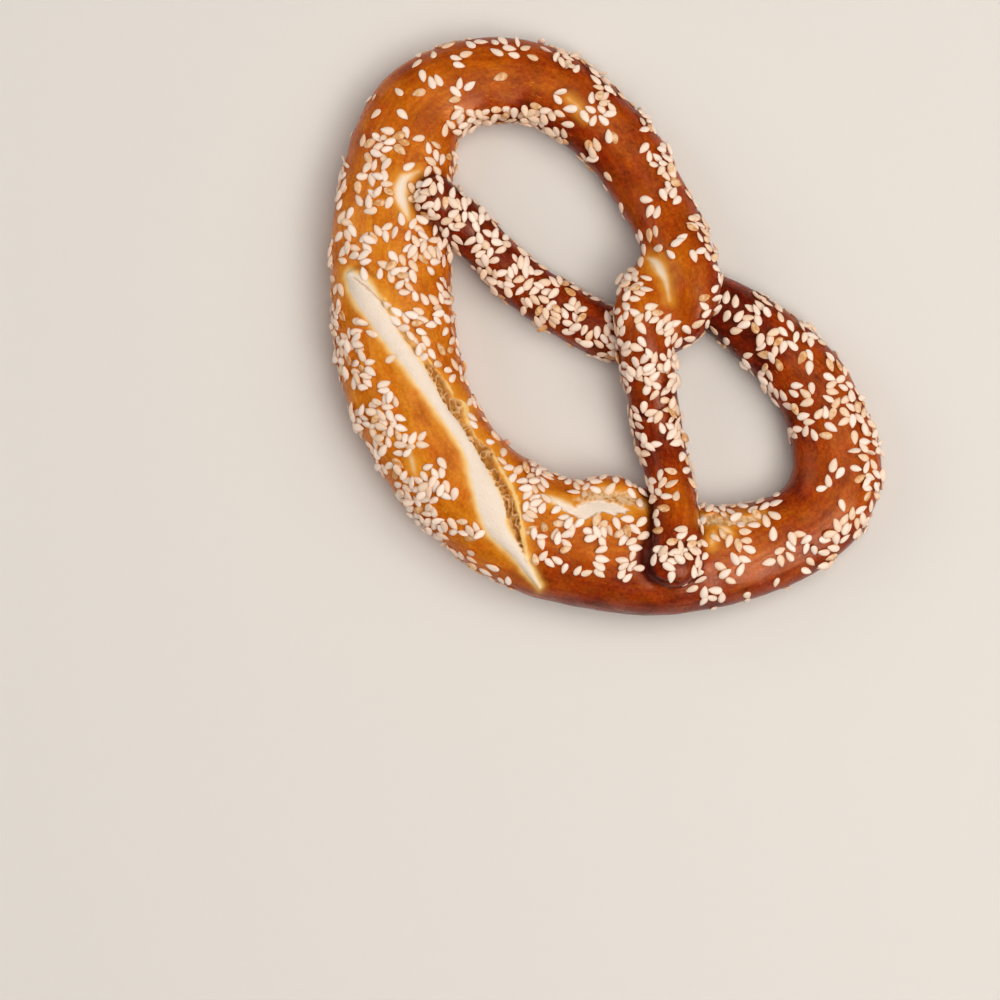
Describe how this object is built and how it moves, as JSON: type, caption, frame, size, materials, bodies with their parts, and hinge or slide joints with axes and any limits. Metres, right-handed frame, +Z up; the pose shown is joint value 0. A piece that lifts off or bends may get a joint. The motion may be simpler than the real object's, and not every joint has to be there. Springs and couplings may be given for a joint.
{
  "type": "sesame pretzel",
  "caption": "Soft baked pretzel of one twisted rope of dough, with a fat slashed belly, thin crossed arms, glossy brown lye crust and scattered sesame seeds, lying flat.",
  "frame": {"origin": "centre of the bounding box, on the flat underside that rests on the table", "axes": "+X runs the long way, towards the right loop, +Y from the belly towards the twist, +Z up out of the flat underside"},
  "size_m": [0.1639, 0.1073, 0.026],
  "materials": {
    "crust": "thin shiny lye crust, golden brown on the belly to dark chestnut on the arms and in the creases",
    "crumb": "dry matte cream crumb where the crust has burst open",
    "sesame": "hulled sesame seeds, cream to lightly toasted"
  },
  "bodies": {
    "root": {"pretzel": "crust"}
  },
  "joints": []
}
